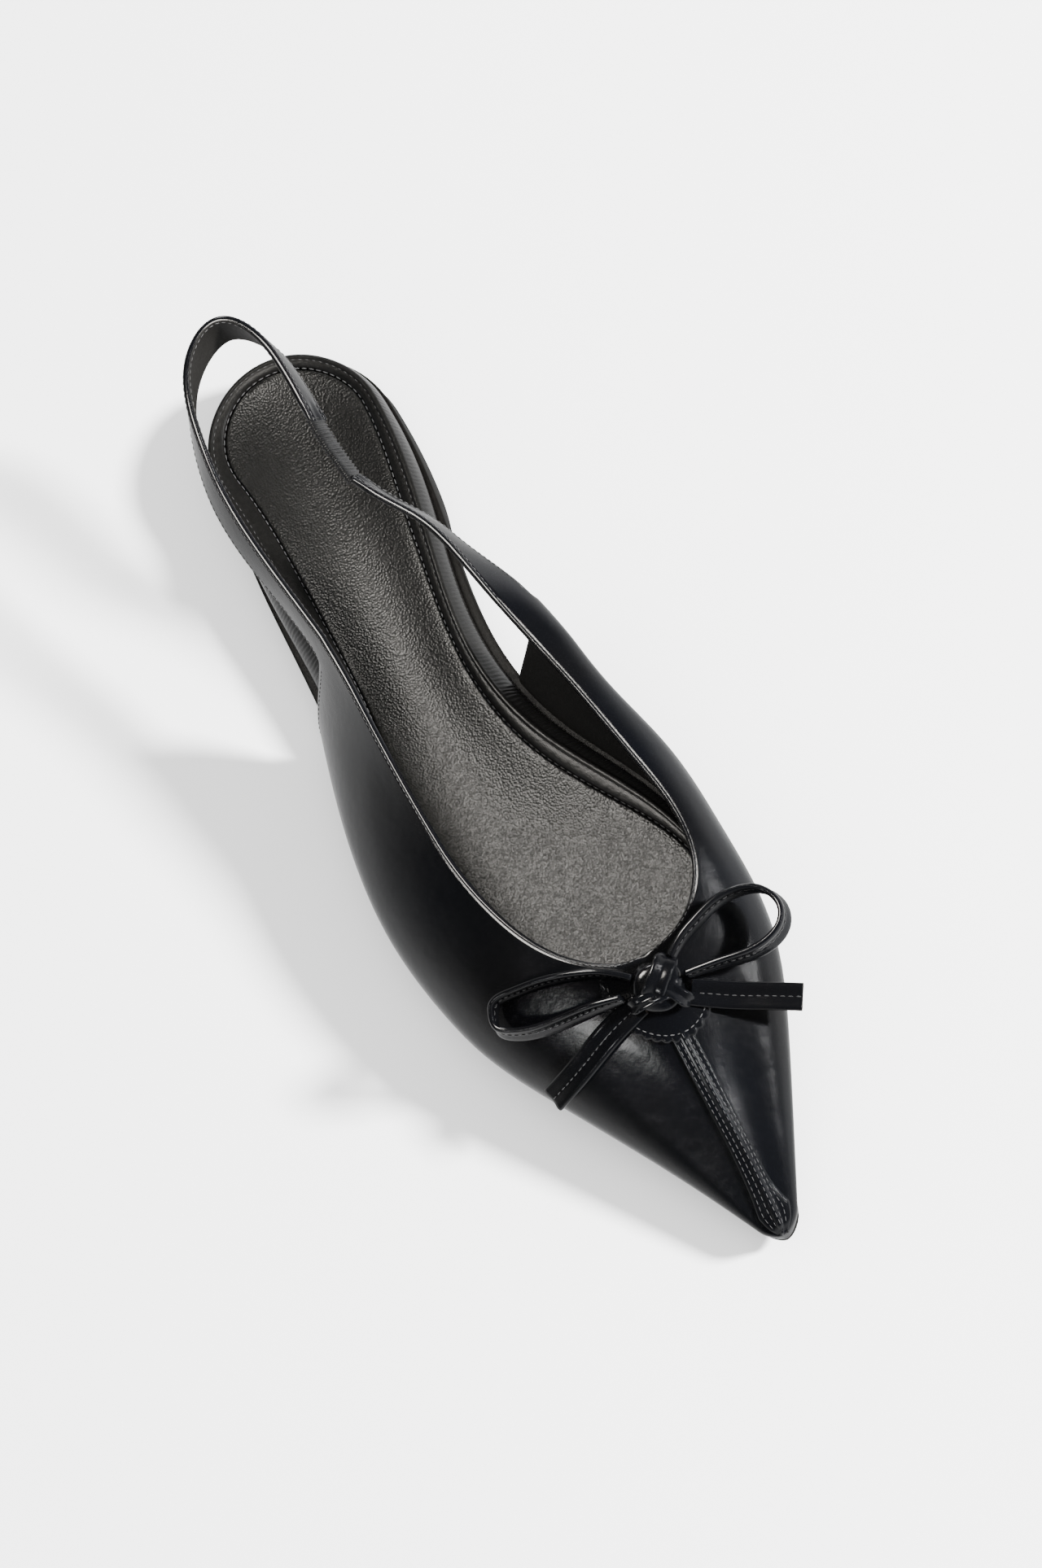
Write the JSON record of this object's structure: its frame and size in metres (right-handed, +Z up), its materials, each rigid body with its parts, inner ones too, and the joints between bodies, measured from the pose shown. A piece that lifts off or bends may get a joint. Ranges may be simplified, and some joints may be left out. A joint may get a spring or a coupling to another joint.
{
  "type": "ballet flat shoe",
  "caption": "Black right-foot ballet flat with a pointed toe, low-cut throat, ribbon bow, open waist and a sling strap with an elastic link behind the heel.",
  "frame": {"origin": "middle of the shoe's bounding box, on the floor plane", "axes": "+Y from heel to toe, +X to the outer side of the right foot, +Z up"},
  "size_m": [0.0896, 0.271, 0.0639],
  "materials": {
    "black_leather": "smooth polished black leather with a fine grain",
    "sock_leather": "soft pebbled black lining leather, satin",
    "black_elastic": "leather-covered elastic gathered in fine ribs",
    "sole_rubber": "matt black moulded sole"
  },
  "bodies": {
    "root": {"outsole": "sole_rubber", "footbed": "black_leather", "insole_sock": "sock_leather", "upper": "black_leather", "toe_seam": "black_leather", "back_strap": "black_leather", "front_strap": "black_leather", "strap_elastic": "black_elastic", "bow_knot": "black_leather", "bow_loop_outer": "black_leather", "bow_loop_inner": "black_leather", "bow_tail_outer": "black_leather", "bow_tail_inner": "black_leather"}
  },
  "joints": []
}
